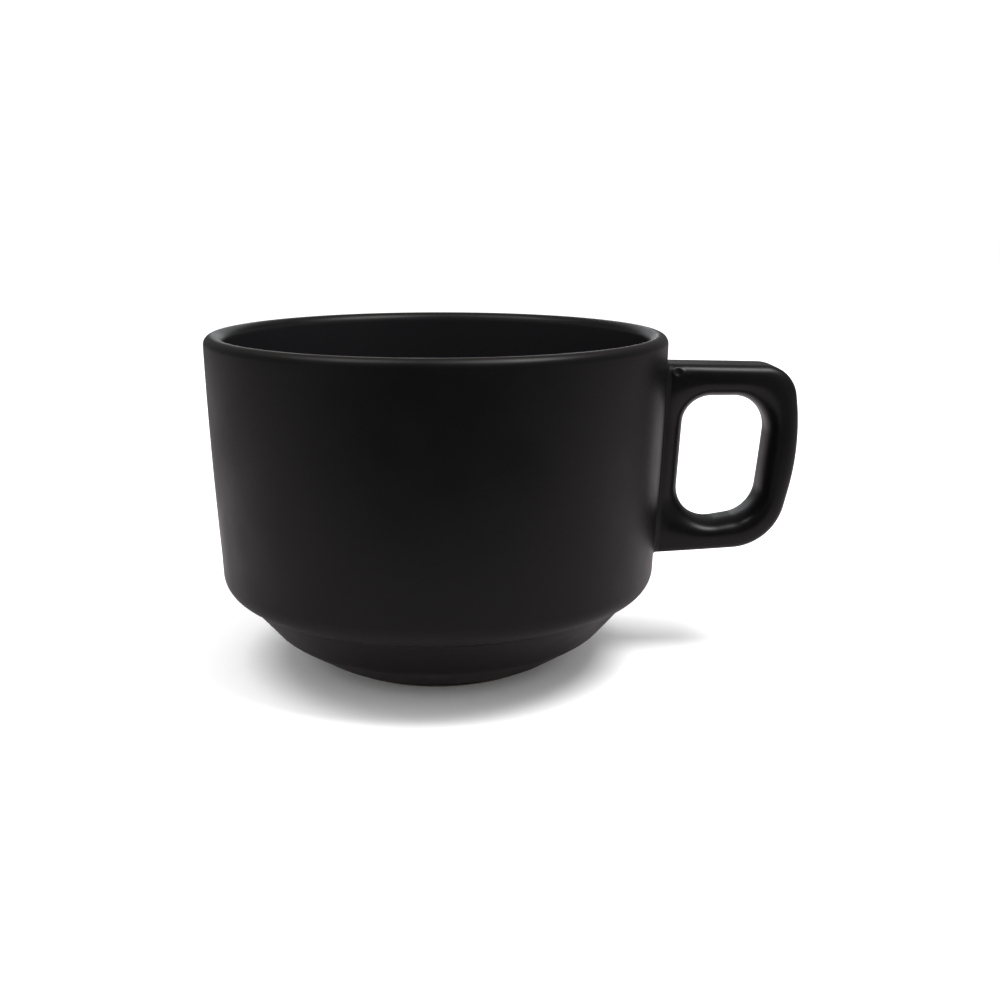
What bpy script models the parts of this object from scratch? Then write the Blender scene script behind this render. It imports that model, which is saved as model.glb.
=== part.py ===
"""Low stacking coffee cup in black glazed stoneware, with a cast loop handle.

Four pieces: the turned cup body, the foot ring that it stands on, the loop handle,
and the slip joint that holds the handle's back to the wall.
Metres, +Z up, +X towards the handle. The origin is the middle of the whole cup, at
the plane it stands on. The turned pieces stand on the body's own axis, which is set
back from the origin by half the handle's overhang.
"""

import math

import bmesh
import bpy
from mathutils import Vector

MM = 0.001

# Body, outside
RIM_RADIUS = 45.0 * MM
HEIGHT = 65.7 * MM
WALL = 3.6 * MM
LIP_OUTER_ROUND = 1.7 * MM
LIP_INNER_ROUND = WALL - LIP_OUTER_ROUND
WALL_TOP_Z = HEIGHT - LIP_OUTER_ROUND
TAPER_TOP_Z = 63.6 * MM
WALL_FOOT_RADIUS = 43.4 * MM
WALL_FOOT_Z = 22.0 * MM
BARREL = 0.24 * MM
SHOULDER_RADIUS = 43.25 * MM
SHOULDER_Z = 16.55 * MM
SHOULDER_ROUND = 4.6 * MM
STEP_RADIUS = 39.6 * MM
STEP_Z = 14.6 * MM
BOWL_RADIUS = 33.2 * MM
BOWL_Z = 7.0 * MM
BOWL_ROUND = 8.0 * MM
BOWL_FOOT_RADIUS = 25.4 * MM

# Body, inside and underneath
INNER_BOWL_TOP_Z = 24.0 * MM
INNER_BOWL_RADIUS = 39.5 * MM
INNER_BOWL_POWER = 2.2
FLOOR_Z = 6.0 * MM
RECESS_RADIUS = 15.5 * MM
RECESS_EDGE_RADIUS = 17.5 * MM
RECESS_Z = 2.5 * MM

# Foot ring
FOOT_HEIGHT = 1.6 * MM
FOOT_OUTER_RADIUS = 23.2 * MM
FOOT_INNER_RADIUS = 18.6 * MM
FOOT_LAND_OUTER = 21.8 * MM
FOOT_LAND_INNER = 19.6 * MM
FOOT_FLANK_Z = 0.6 * MM
FOOT_FLANK_LEAN = 0.6 * MM

# Handle: corners of its outline and of the finger hole, as radius, height and rounding
HANDLE_CORNERS = (
    (40.0 * MM, 20.8 * MM, 0.0),
    (67.9 * MM, 22.4 * MM, 11.2 * MM),
    (72.7 * MM, 43.0 * MM, 50.0 * MM),
    (70.4 * MM, 59.1 * MM, 6.8 * MM),
    (40.0 * MM, 59.7 * MM, 0.0),
)
HOLE_CORNERS = (
    (47.2 * MM, 25.3 * MM, 8.2 * MM),
    (65.1 * MM, 28.4 * MM, 7.6 * MM),
    (67.3 * MM, 53.35 * MM, 8.7 * MM),
    (48.6 * MM, 53.25 * MM, 6.1 * MM),
)
HANDLE_DEPTH = 11.5 * MM
HANDLE_EDGE = 2.2 * MM

# Slip joint between the wall and the handle's back
SLIP_THICKNESS = 1.2 * MM
SLIP_REACH = 1.8 * MM
SLIP_FLARE = 1.6 * MM
SLIP_RIM = 0.3 * MM
SLIP_ROOT = 2.0 * MM

GAP = 0.3 * MM
MERGE = 0.01 * MM
TURN_STEPS = 64
ARC_STEPS = 8
EDGE_STEPS = 3

BLACK_GLAZE = (0.012, 0.011, 0.011, 1.0)
BARE_CLAY = (0.16, 0.135, 0.115, 1.0)


def arc(centre, radius, start, end, steps):
    """Points on a circle in the radius-height plane, from one angle to another in degrees."""
    points = []
    for step in range(steps + 1):
        angle = math.radians(start + (end - start) * step / steps)
        points.append((centre[0] + radius * math.cos(angle), centre[1] + radius * math.sin(angle)))
    return points


def rounded_corner(before, corner, after, radius, steps):
    """The arc that rounds one corner of an outline, or the corner itself when it is sharp."""
    here = Vector(corner)
    if radius == 0.0:
        return [tuple(here)]
    back = (Vector(before) - here).normalized()
    ahead = (Vector(after) - here).normalized()
    half = back.angle(ahead) / 2
    start = here + back * radius / math.tan(half)
    centre = here + (back + ahead).normalized() * radius / math.sin(half)
    spoke = start - centre
    turn = math.pi - 2 * half
    if spoke.x * back.y - spoke.y * back.x > 0.0:
        turn = -turn
    points = []
    for step in range(steps + 1):
        angle = turn * step / steps
        points.append((
            centre.x + spoke.x * math.cos(angle) - spoke.y * math.sin(angle),
            centre.y + spoke.x * math.sin(angle) + spoke.y * math.cos(angle),
        ))
    return points


def rounded_loop(corners, steps=ARC_STEPS):
    """A closed outline from corners given as (x, z, rounding)."""
    points = []
    for index, (x, z, radius) in enumerate(corners):
        before = corners[index - 1][:2]
        after = corners[(index + 1) % len(corners)][:2]
        points += rounded_corner(before, (x, z), after, radius, steps)
    return points


def wall_radius(z):
    """Outer radius of the upright wall: a taper towards the foot with a slight barrel."""
    t = min((z - WALL_FOOT_Z) / (TAPER_TOP_Z - WALL_FOOT_Z), 1.0)
    return WALL_FOOT_RADIUS + (RIM_RADIUS - WALL_FOOT_RADIUS) * t + BARREL * 4 * t * (1 - t)


def wall_points(top_z, foot_z, steps):
    """The wall's outer face, from the top down."""
    heights = [top_z + (foot_z - top_z) * step / steps for step in range(steps + 1)]
    return [(wall_radius(z), z) for z in heights]


def inner_points(steps):
    """The inside, from the middle of the floor up to the straight inner wall."""
    depth = INNER_BOWL_TOP_Z - FLOOR_Z
    points = []
    for step in range(steps + 1):
        angle = math.pi / 2 * step / steps
        across = math.sin(angle) ** (2 / INNER_BOWL_POWER)
        down = max(math.cos(angle), 0.0) ** (2 / INNER_BOWL_POWER)
        points.append((INNER_BOWL_RADIUS * across, INNER_BOWL_TOP_Z - depth * down))
    return points


def shoulder_and_bowl_points():
    """From the foot of the wall round the shoulder, in to the stacking step and down the bowl."""
    wall_foot = (WALL_FOOT_RADIUS, WALL_FOOT_Z)
    shoulder = (SHOULDER_RADIUS, SHOULDER_Z)
    stacking_step = (STEP_RADIUS, STEP_Z)
    bowl = (BOWL_RADIUS, BOWL_Z)
    bowl_foot = (BOWL_FOOT_RADIUS, FOOT_HEIGHT + GAP)
    points = rounded_corner(wall_foot, shoulder, stacking_step, SHOULDER_ROUND, ARC_STEPS)
    points.append(stacking_step)
    points += rounded_corner(stacking_step, bowl, bowl_foot, BOWL_ROUND, ARC_STEPS // 2)
    points.append(bowl_foot)
    return points


def new_material(name, color, roughness):
    material = bpy.data.materials.new(name)
    material.use_nodes = True
    shader = material.node_tree.nodes["Principled BSDF"]
    shader.inputs["Base Color"].default_value = color
    shader.inputs["Roughness"].default_value = roughness
    shader.inputs["Metallic"].default_value = 0.0
    material.diffuse_color = color
    return material


def new_collection(name):
    collection = bpy.data.collections.new(name)
    bpy.context.scene.collection.children.link(collection)
    return collection


def place(obj, collection, axis):
    """Put an object in its collection, on the body's axis."""
    collection.objects.link(obj)
    obj.parent = axis
    return obj


def turned(name, profile, collection, axis, closed=False):
    """A turned solid: a profile in the XZ plane swept once round the axis."""
    mesh = bpy.data.meshes.new(name)
    edges = [(index, index + 1) for index in range(len(profile) - 1)]
    if closed:
        edges.append((len(profile) - 1, 0))
    mesh.from_pydata([(r, 0.0, z) for r, z in profile], edges, [])
    obj = place(bpy.data.objects.new(name, mesh), collection, axis)
    screw = obj.modifiers.new("turn", "SCREW")
    screw.steps = TURN_STEPS
    screw.render_steps = TURN_STEPS
    screw.use_merge_vertices = True
    screw.merge_threshold = MERGE
    screw.use_smooth_shade = True
    return obj


def wall_form(name, offset, collection, axis):
    """A cutter with the shape of the wall's outside, a stated distance further out."""
    wall = wall_points(HEIGHT, WALL_FOOT_Z / 2, 2 * ARC_STEPS)
    profile = [(0.0, HEIGHT)] + [(r + offset, z) for r, z in wall] + [(0.0, WALL_FOOT_Z / 2)]
    return hide_cutter(turned(name, profile, collection, axis))


def hide_cutter(obj):
    obj.hide_render = True
    obj.display_type = "WIRE"
    return obj


def loop_form(name, grow, collection, axis):
    """The handle's closed loop: a flat outline with its hole, thickened, with soft edges."""
    curve = bpy.data.curves.new(name + "_outline", "CURVE")
    curve.dimensions = "2D"
    curve.fill_mode = "BOTH"
    curve.extrude = HANDLE_DEPTH / 2 - HANDLE_EDGE + grow
    curve.bevel_depth = HANDLE_EDGE
    curve.bevel_resolution = EDGE_STEPS
    curve.offset = grow - HANDLE_EDGE
    for corners in (HANDLE_CORNERS, HOLE_CORNERS):
        points = rounded_loop(corners)
        spline = curve.splines.new("POLY")
        spline.points.add(len(points) - 1)
        for point, (x, z) in zip(spline.points, points):
            point.co = (x, z, 0.0, 1.0)
        spline.use_cyclic_u = True
    guide = place(bpy.data.objects.new(name + "_guide", curve), collection, axis)
    guide.rotation_euler = (math.pi / 2, 0.0, 0.0)
    return curve_to_solid(name, guide, collection, axis)


def curve_to_solid(name, guide, collection, axis):
    """Turn a filled curve into a closed mesh object in the same place."""
    bpy.context.view_layer.update()
    evaluated = guide.evaluated_get(bpy.context.evaluated_depsgraph_get())
    mesh = bpy.data.meshes.new_from_object(evaluated)
    mesh.name = name
    shape = bmesh.new()
    shape.from_mesh(mesh)
    bmesh.ops.remove_doubles(shape, verts=shape.verts, dist=MERGE)
    shape.to_mesh(mesh)
    shape.free()
    obj = place(bpy.data.objects.new(name, mesh), collection, axis)
    obj.matrix_world = guide.matrix_world.copy()
    bpy.data.objects.remove(guide)
    return obj


def section_of_slip(level):
    """Half depth, foot, top and rounding of the slip joint at a level of its flare, 0 to 1."""
    spread = GAP + SLIP_RIM + SLIP_FLARE * (1 - math.sqrt(1 - (1 - level) ** 2))
    half = HANDLE_DEPTH / 2 + spread
    foot = HANDLE_CORNERS[0][1] - spread
    top = HANDLE_CORNERS[-1][1] + spread
    return half, foot, top, HANDLE_EDGE + spread


def slip_form(name, collection, axis):
    """The slip joint's flare: rounded sections lofted out from the wall, concave all round."""
    shape = bmesh.new()
    loops = []
    for step in range(ARC_STEPS + 1):
        level = max(step - 1, 0) / (ARC_STEPS - 1)
        half, foot, top, edge = section_of_slip(level)
        outline = rounded_loop(
            ((-half, foot, edge), (half, foot, edge), (half, top, edge), (-half, top, edge)),
            ARC_STEPS // 2,
        )
        out = SLIP_REACH * level if step else -SLIP_ROOT
        loop = []
        for y, z in outline:
            x = math.sqrt(wall_radius(z) ** 2 - y ** 2) + out
            loop.append(shape.verts.new((x, y, z)))
        loops.append(loop)
    for near, far in zip(loops, loops[1:]):
        for index in range(len(near)):
            following = (index + 1) % len(near)
            shape.faces.new((near[index], near[following], far[following], far[index]))
    for end in (loops[0], loops[-1]):
        cap = shape.faces.new(end)
        bmesh.ops.poke(shape, faces=[cap])
    bmesh.ops.recalc_face_normals(shape, faces=shape.faces)
    mesh = bpy.data.meshes.new(name)
    shape.to_mesh(mesh)
    shape.free()
    return place(bpy.data.objects.new(name, mesh), collection, axis)


def cut(obj, cutter, title):
    boolean = obj.modifiers.new(title, "BOOLEAN")
    boolean.operation = "DIFFERENCE"
    boolean.solver = "EXACT"
    boolean.object = cutter


def finish(obj, material):
    """Give a piece its own material and smooth shading."""
    obj.data.materials.clear()
    obj.data.materials.append(material)
    if obj.data.polygons:
        obj.data.shade_smooth()


def make_cup_body(pieces, axis):
    crown = RIM_RADIUS - LIP_OUTER_ROUND
    inner_lip = arc((crown, HEIGHT - LIP_INNER_ROUND), LIP_INNER_ROUND, 180, 90, ARC_STEPS // 2)
    outer_lip = arc((crown, WALL_TOP_Z), LIP_OUTER_ROUND, 90, 0, ARC_STEPS)
    profile = inner_points(ARC_STEPS)
    profile += inner_lip[:-1]
    profile += outer_lip[:-1]
    profile += wall_points(WALL_TOP_Z, WALL_FOOT_Z, ARC_STEPS // 2)
    profile += shoulder_and_bowl_points()
    profile += [
        (RECESS_EDGE_RADIUS, FOOT_HEIGHT + GAP),
        (RECESS_RADIUS, RECESS_Z),
        (0.0, RECESS_Z),
    ]
    body = turned("cup_body", profile, pieces, axis)
    finish(body, new_material("body_glaze", BLACK_GLAZE, 0.42))
    return body


def make_foot_ring(pieces, axis):
    profile = [
        (FOOT_OUTER_RADIUS, FOOT_HEIGHT),
        (FOOT_OUTER_RADIUS - FOOT_FLANK_LEAN, FOOT_FLANK_Z),
        (FOOT_LAND_OUTER, 0.0),
        (FOOT_LAND_INNER, 0.0),
        (FOOT_INNER_RADIUS, FOOT_FLANK_Z),
        (FOOT_INNER_RADIUS, FOOT_HEIGHT),
    ]
    ring = turned("foot_ring", profile, pieces, axis, closed=True)
    finish(ring, new_material("foot_clay", BARE_CLAY, 0.85))
    return ring


def make_handle(pieces, cutters, axis):
    handle = loop_form("handle", 0.0, pieces, axis)
    cut(handle, wall_form("wall_under_handle", SLIP_THICKNESS, cutters, axis), "fit back to wall")
    finish(handle, new_material("handle_glaze", BLACK_GLAZE, 0.38))
    return handle


def make_slip_joint(pieces, cutters, axis):
    joint = slip_form("handle_slip_joint", pieces, axis)
    seat = loop_form("handle_clearance", GAP, cutters, axis)
    slip_face = wall_form("wall_over_slip", SLIP_THICKNESS - GAP, cutters, axis)
    cut(seat, slip_face, "leave slip behind handle")
    cut(joint, wall_form("wall_under_slip", GAP, cutters, axis), "fit slip to wall")
    cut(joint, hide_cutter(seat), "fit slip round handle")
    finish(joint, new_material("slip_glaze", BLACK_GLAZE, 0.4))
    return joint


def main():
    for obj in list(bpy.data.objects):
        bpy.data.objects.remove(obj)
    pieces = new_collection("stacking_cup")
    cutters = new_collection("cutters")
    reach = max(x for x, z in rounded_loop(HANDLE_CORNERS))
    axis = bpy.data.objects.new("body_axis", None)
    axis.location = ((RIM_RADIUS - reach) / 2, 0.0, 0.0)
    pieces.objects.link(axis)
    bpy.context.view_layer.update()
    make_cup_body(pieces, axis)
    make_foot_ring(pieces, axis)
    make_handle(pieces, cutters, axis)
    make_slip_joint(pieces, cutters, axis)


main()
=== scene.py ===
# %% [markdown]
# A low stacking cup in satin black glaze.
# The cup is a turned body on a foot ring, with a loop handle luted to its wall with slip.
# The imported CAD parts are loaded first. They give every place and size, and each of them is
# then replaced by a finer piece in the same place, with a glaze or clay finish of its own.

# %% Load the frame and read where the cup stands
import math

import bmesh
import bpy
from mathutils import Matrix, Vector


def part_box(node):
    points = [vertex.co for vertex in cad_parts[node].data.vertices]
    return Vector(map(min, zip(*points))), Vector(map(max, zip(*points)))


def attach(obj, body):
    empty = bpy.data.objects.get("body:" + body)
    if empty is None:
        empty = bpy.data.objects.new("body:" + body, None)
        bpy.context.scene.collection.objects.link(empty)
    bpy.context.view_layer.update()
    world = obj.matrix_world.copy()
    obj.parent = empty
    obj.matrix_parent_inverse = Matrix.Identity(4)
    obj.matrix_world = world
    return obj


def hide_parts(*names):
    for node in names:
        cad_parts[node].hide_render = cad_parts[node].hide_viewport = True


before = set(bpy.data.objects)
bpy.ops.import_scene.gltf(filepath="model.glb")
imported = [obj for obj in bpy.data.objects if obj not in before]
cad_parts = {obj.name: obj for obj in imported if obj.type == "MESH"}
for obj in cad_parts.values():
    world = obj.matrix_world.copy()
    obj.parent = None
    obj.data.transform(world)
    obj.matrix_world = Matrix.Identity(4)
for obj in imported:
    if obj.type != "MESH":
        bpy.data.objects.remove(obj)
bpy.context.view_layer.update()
body_low, body_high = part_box("cup_body")
AXIS_X = (body_low.x + body_high.x) / 2
MM = 0.001
print(f"the body's axis stands at x = {AXIS_X / MM:.2f} mm")

# %% [markdown]
# A turned or bent shape starts as a drawing of its outline: straight runs with rounded corners.
# A corner could be bevelled later on the mesh, but an arc worked out in the drawing gives the same
# rounding every time, and lets the number of steps follow how closely the corner will be seen.

# %% Draw outlines with rounded corners
ARC_STEPS = 14


def arc(centre, radius, start, end, steps=ARC_STEPS):
    """Points on a circle, from one angle to another in degrees."""
    points = []
    for step in range(steps + 1):
        angle = math.radians(start + (end - start) * step / steps)
        points.append((centre[0] + radius * math.cos(angle), centre[1] + radius * math.sin(angle)))
    return points


def straight(start, end, steps):
    """Evenly spaced points from one place to another, without the last one."""
    spots = [step / steps for step in range(steps)]
    return [(start[0] + (end[0] - start[0]) * t, start[1] + (end[1] - start[1]) * t) for t in spots]


print("a quarter circle is drawn with", len(arc((0.0, 0.0), 1.0, 0, 90)), "points")

# %% [markdown]
# A rounded corner is an arc that touches both straight runs. Its centre lies on the line that halves
# the corner, so the arc's length and place follow from the corner's angle and the rounding alone.

# %% Round a corner, and a whole loop of corners


def rounded_corner(before, corner, after, radius, steps=ARC_STEPS):
    """The arc that rounds one corner of an outline, or the corner itself when it is sharp."""
    here = Vector(corner)
    if radius == 0.0:
        return [tuple(here)]
    back = (Vector(before) - here).normalized()
    ahead = (Vector(after) - here).normalized()
    half = back.angle(ahead) / 2
    start = here + back * radius / math.tan(half)
    centre = here + (back + ahead).normalized() * radius / math.sin(half)
    spoke = start - centre
    turn = math.pi - 2 * half
    if spoke.x * back.y - spoke.y * back.x > 0.0:
        turn = -turn
    points = []
    for step in range(steps + 1):
        angle = turn * step / steps
        points.append((
            centre.x + spoke.x * math.cos(angle) - spoke.y * math.sin(angle),
            centre.y + spoke.x * math.sin(angle) + spoke.y * math.cos(angle),
        ))
    return points


def rounded_loop(corners, steps=ARC_STEPS):
    """A closed outline in metres, from corners given in mm as (across, up, rounding)."""
    points = []
    for index, (x, z, radius) in enumerate(corners):
        before = corners[index - 1][:2]
        after = corners[(index + 1) % len(corners)][:2]
        points += rounded_corner(before, (x, z), after, radius, steps)
    return [(x * MM, z * MM) for x, z in points]


square = rounded_loop([(0, 0, 2), (10, 0, 2), (10, 10, 2), (0, 10, 2)])
print(f"a square with four rounded corners is drawn with {len(square)} points")

# %% [markdown]
# Node trees are built in code here, so a few short words for adding nodes keep the rest readable.

# %% Words for building node trees


def put(tree, value, socket):
    """Link another node's output to a socket, or set the socket's own value."""
    if isinstance(value, bpy.types.NodeSocket):
        tree.links.new(value, socket)
    else:
        socket.default_value = value


def maths(tree, operation, first, second=0.0):
    """One step of arithmetic on one or two values."""
    made = tree.nodes.new("ShaderNodeMath")
    made.operation = operation
    put(tree, first, made.inputs[0])
    put(tree, second, made.inputs[1])
    return made.outputs[0]


def spread(tree, value, low, high, to_low, to_high):
    """Carry a value from one range to another, held inside it, with a soft start and end."""
    made = tree.nodes.new("ShaderNodeMapRange")
    made.interpolation_type = "SMOOTHSTEP"
    for socket, setting in zip(made.inputs, (value, low, high, to_low, to_high)):
        put(tree, setting, socket)
    return made.outputs["Result"]


print("words for values: put, maths, spread")

# %% [markdown]
# Two more words serve the looks: noise gives an uneven value, and blended mixes two colours.
# Blender's Mix node has sockets for every kind of value, so the ones for colours are called by
# number.

# %% Words for patterns and colours
MIX_FIRST_COLOUR = 6
MIX_SECOND_COLOUR = 7
MIX_COLOUR_RESULT = 2


def noise(tree, where, scale, detail=2.0):
    """Soft uneven values between 0 and 1."""
    made = tree.nodes.new("ShaderNodeTexNoise")
    tree.links.new(where, made.inputs["Vector"])
    made.inputs["Scale"].default_value = scale
    made.inputs["Detail"].default_value = detail
    return made.outputs["Fac"]


def blended(tree, share, first, second):
    """A colour between two others."""
    made = tree.nodes.new("ShaderNodeMix")
    made.data_type = "RGBA"
    put(tree, share, made.inputs["Factor"])
    put(tree, first, made.inputs[MIX_FIRST_COLOUR])
    put(tree, second, made.inputs[MIX_SECOND_COLOUR])
    return made.outputs[MIX_COLOUR_RESULT]


print("words for looks: noise, blended")

# %% [markdown]
# The glaze is a satin black: a glass so full of fine crystals that it scatters its gloss.
# A flat black with one roughness would look like plastic. Real glaze has a faint orange peel of
# about a millimetre, patches where it came out a little more matt, a few pinholes and pale specks,
# and it runs thin and slightly brown over a sharp lip. Each of those is one small group of nodes
# on Object coordinates, so a size in the pattern is a real size on the cup.

# %% Specks in a satin black glaze
SPECK_SCALE = 62.0
SPECK_SIZE = 0.012
SPECK_CORE = 0.5 * SPECK_SIZE
SPECK_SHARE = 0.45


def object_places(tree):
    """Places in the object's own metres."""
    return tree.nodes.new("ShaderNodeTexCoord").outputs["Object"]


def specks(tree, where):
    """1 on a few tiny spots and 0 elsewhere. Most cells of the pattern are left without one."""
    cells = tree.nodes.new("ShaderNodeTexVoronoi")
    tree.links.new(where, cells.inputs["Vector"])
    cells.inputs["Scale"].default_value = SPECK_SCALE
    spot = spread(tree, cells.outputs["Distance"], SPECK_CORE, SPECK_SIZE, 1.0, 0.0)
    chosen = maths(tree, "GREATER_THAN", cells.outputs["Color"], 1.0 - SPECK_SHARE)
    return maths(tree, "MULTIPLY", spot, chosen)


print(f"specks can fall about {1.0 / (SPECK_SCALE * MM):.0f} mm apart")

# %% [markdown]
# The same glaze covers every piece, and only how matt it came out and how strong its skin shows
# differ. So one helper makes its colour, roughness and bump, and each finish is built on it.

# %% Colour, roughness and skin of the glaze
GLAZE_BLACK = (0.0026, 0.0023, 0.0026, 1.0)
GLAZE_SOFT_BLACK = (0.0036, 0.0031, 0.0035, 1.0)
# Painted light: the inside of the cup is painted lighter and bluer, for the light that reaches into it.
GLAZE_INSIDE_PAINTED_LIGHTER = (0.0076, 0.0073, 0.0083, 1.0)
GLAZE_THIN = (0.0085, 0.0062, 0.0048, 1.0)
GLAZE_SPECK = (0.055, 0.050, 0.045, 1.0)
PEEL_SCALE = 850.0
PEEL_DEPTH = 0.03 * MM
PATCH_SCALE = 95.0
PATCH_DETAIL = 3.0
PATCH_RANGE = (0.3, 0.7)
SMOOTHER_PATCH = 0.03
ROUGHER_PATCH = 0.04
THIN_LIP_HEIGHT = 0.9 * MM
THIN_LIP_AMOUNT = 0.6


def glaze_surface(tree, where, matt, peel):
    """Colour, roughness and bump of the glaze, before any bare clay is added."""
    patch = noise(tree, where, PATCH_SCALE, PATCH_DETAIL)
    spots = specks(tree, where)
    inside = tree.nodes.new("ShaderNodeAttribute")
    inside.attribute_name = "inside"
    colour = blended(tree, patch, GLAZE_BLACK, GLAZE_SOFT_BLACK)
    # The marked inside is blended towards the lighter colour, as painted light inside the cup.
    colour = blended(tree, inside.outputs["Fac"], colour, GLAZE_INSIDE_PAINTED_LIGHTER)
    height = tree.nodes.new("ShaderNodeSeparateXYZ")
    tree.links.new(where, height.inputs[0])
    lip_start = body_high.z - THIN_LIP_HEIGHT
    thin = spread(tree, height.outputs["Z"], lip_start, body_high.z, 0.0, THIN_LIP_AMOUNT)
    colour = blended(tree, thin, colour, GLAZE_THIN)
    colour = blended(tree, spots, colour, GLAZE_SPECK)
    low, high = PATCH_RANGE
    roughness = spread(tree, patch, low, high, matt - SMOOTHER_PATCH, matt + ROUGHER_PATCH)
    skin = maths(tree, "SUBTRACT", noise(tree, where, PEEL_SCALE), spots)
    bump = tree.nodes.new("ShaderNodeBump")
    bump.inputs["Strength"].default_value = peel
    bump.inputs["Distance"].default_value = PEEL_DEPTH
    tree.links.new(skin, bump.inputs["Height"])
    return colour, roughness, bump.outputs["Normal"], height.outputs["Z"]


print(f"the orange peel is about {1.0 / (PEEL_SCALE * MM):.1f} mm across")

# %% [markdown]
# Three glazes follow: the body's is a little more matt, the handle's a little smoother, and the one
# over the slip keeps a stronger skin, where the brush went. The sheen is the same all over a piece,
# so it is set on the shader itself and not through nodes.

# %% Three satin black glazes
GLAZE_SHEEN_LEVEL = 0.15
GLAZE_SHEEN_ON_HANDLE = 0.20
BODY_MATT = 0.38
HANDLE_MATT = 0.32
SLIP_MATT = 0.36
PEEL_STRENGTH = 0.28
BRUSHED_PEEL = 0.40


def start_material(name, shown):
    """A new material, its node tree and its shader."""
    material = bpy.data.materials.new(name)
    material.use_nodes = True
    material.diffuse_color = shown
    return material, material.node_tree, material.node_tree.nodes["Principled BSDF"]


def black_glaze(name, matt, peel, sheen):
    """One satin black glaze, with its own roughness, skin and sheen."""
    material, tree, shader = start_material(name, GLAZE_SOFT_BLACK)
    colour, roughness, normal, _ = glaze_surface(tree, object_places(tree), matt, peel)
    tree.links.new(colour, shader.inputs["Base Color"])
    tree.links.new(roughness, shader.inputs["Roughness"])
    tree.links.new(normal, shader.inputs["Normal"])
    shader.inputs["Specular IOR Level"].default_value = sheen
    return material


body_glaze = black_glaze(
    "satin_black_glaze_on_body", BODY_MATT, PEEL_STRENGTH, GLAZE_SHEEN_LEVEL)
handle_glaze = black_glaze(
    "satin_black_glaze_on_handle", HANDLE_MATT, PEEL_STRENGTH, GLAZE_SHEEN_ON_HANDLE)
slip_glaze = black_glaze(
    "satin_black_glaze_over_slip", SLIP_MATT, BRUSHED_PEEL, GLAZE_SHEEN_ON_HANDLE)
print("the body's glaze has", len(body_glaze.node_tree.nodes), "nodes")

# %% [markdown]
# The body is made on a wheel or jigger, so its shape follows one rule: a profile swept round an axis.
# A Screw modifier would do it. Geometry Nodes are used because the rule can be read in the tree:
# a flat grid with one column for each step of the turn, whose points are looked up from the
# profile by number, so that a crisp corner of the drawing stays exactly where it was drawn.

# %% Inputs, look-ups and a numbered grid


def add_inputs(tree, wanted):
    """Give a tree its geometry and its named inputs."""
    tree.interface.new_socket("Geometry", in_out="INPUT", socket_type="NodeSocketGeometry")
    for name, kind in wanted:
        tree.interface.new_socket(name, in_out="INPUT", socket_type=kind)
    tree.interface.new_socket("Geometry", in_out="OUTPUT", socket_type="NodeSocketGeometry")
    return tree.nodes.new("NodeGroupInput"), tree.nodes.new("NodeGroupOutput")


def look_up(tree, source, value, index):
    """A vector stored on the source's points, read by the point's number."""
    sample = tree.nodes.new("GeometryNodeSampleIndex")
    sample.data_type = "FLOAT_VECTOR"
    tree.links.new(source, sample.inputs["Geometry"])
    tree.links.new(value, sample.inputs["Value"])
    tree.links.new(index, sample.inputs["Index"])
    return sample.outputs[0]


def grid_by_number(tree, columns, rows):
    """A grid mesh, with the column and row number of each of its points."""
    grid = tree.nodes.new("GeometryNodeMeshGrid")
    tree.links.new(columns, grid.inputs["Vertices X"])
    tree.links.new(rows, grid.inputs["Vertices Y"])
    number = tree.nodes.new("GeometryNodeInputIndex").outputs[0]
    row = maths(tree, "MODULO", number, rows)
    column = maths(tree, "FLOOR", maths(tree, "DIVIDE", maths(tree, "ADD", number, 0.5), rows))
    return grid.outputs["Mesh"], column, row


print("a tree can now read a drawing's points by number")

# %% [markdown]
# A swept grid meets itself where the turn ends, and all its columns meet on the axis. Points closer
# than a few thousandths of a millimetre are merged there, which leaves one closed skin. Realize
# Instances and Set Material come last, so what leaves the tree is a plain mesh with its finish on.

# %% Close the seams, and put the finish on


def close_and_finish(tree, mesh, position, given, out):
    """Move the grid's points, weld its seam and poles, and give it its finish."""
    moved = tree.nodes.new("GeometryNodeSetPosition")
    welded = tree.nodes.new("GeometryNodeMergeByDistance")
    smooth = tree.nodes.new("GeometryNodeSetShadeSmooth")
    real = tree.nodes.new("GeometryNodeRealizeInstances")
    finish = tree.nodes.new("GeometryNodeSetMaterial")
    tree.links.new(mesh, moved.inputs["Geometry"])
    tree.links.new(position, moved.inputs["Position"])
    tree.links.new(moved.outputs[0], welded.inputs["Geometry"])
    tree.links.new(given.outputs["Seam Distance"], welded.inputs["Distance"])
    tree.links.new(welded.outputs[0], smooth.inputs["Geometry"])
    tree.links.new(smooth.outputs[0], real.inputs["Geometry"])
    tree.links.new(real.outputs[0], finish.inputs["Geometry"])
    tree.links.new(given.outputs["Finish"], finish.inputs["Material"])
    tree.links.new(finish.outputs[0], out.inputs[0])


print("a tree can now close its seams and take a finish")

# %% [markdown]
# The wheel itself: the column number says how far round a point stands, and the row number says
# which point of the profile it is. Cosine and sine of the angle carry it round the axis.

# %% A wheel, as a node tree


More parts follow.
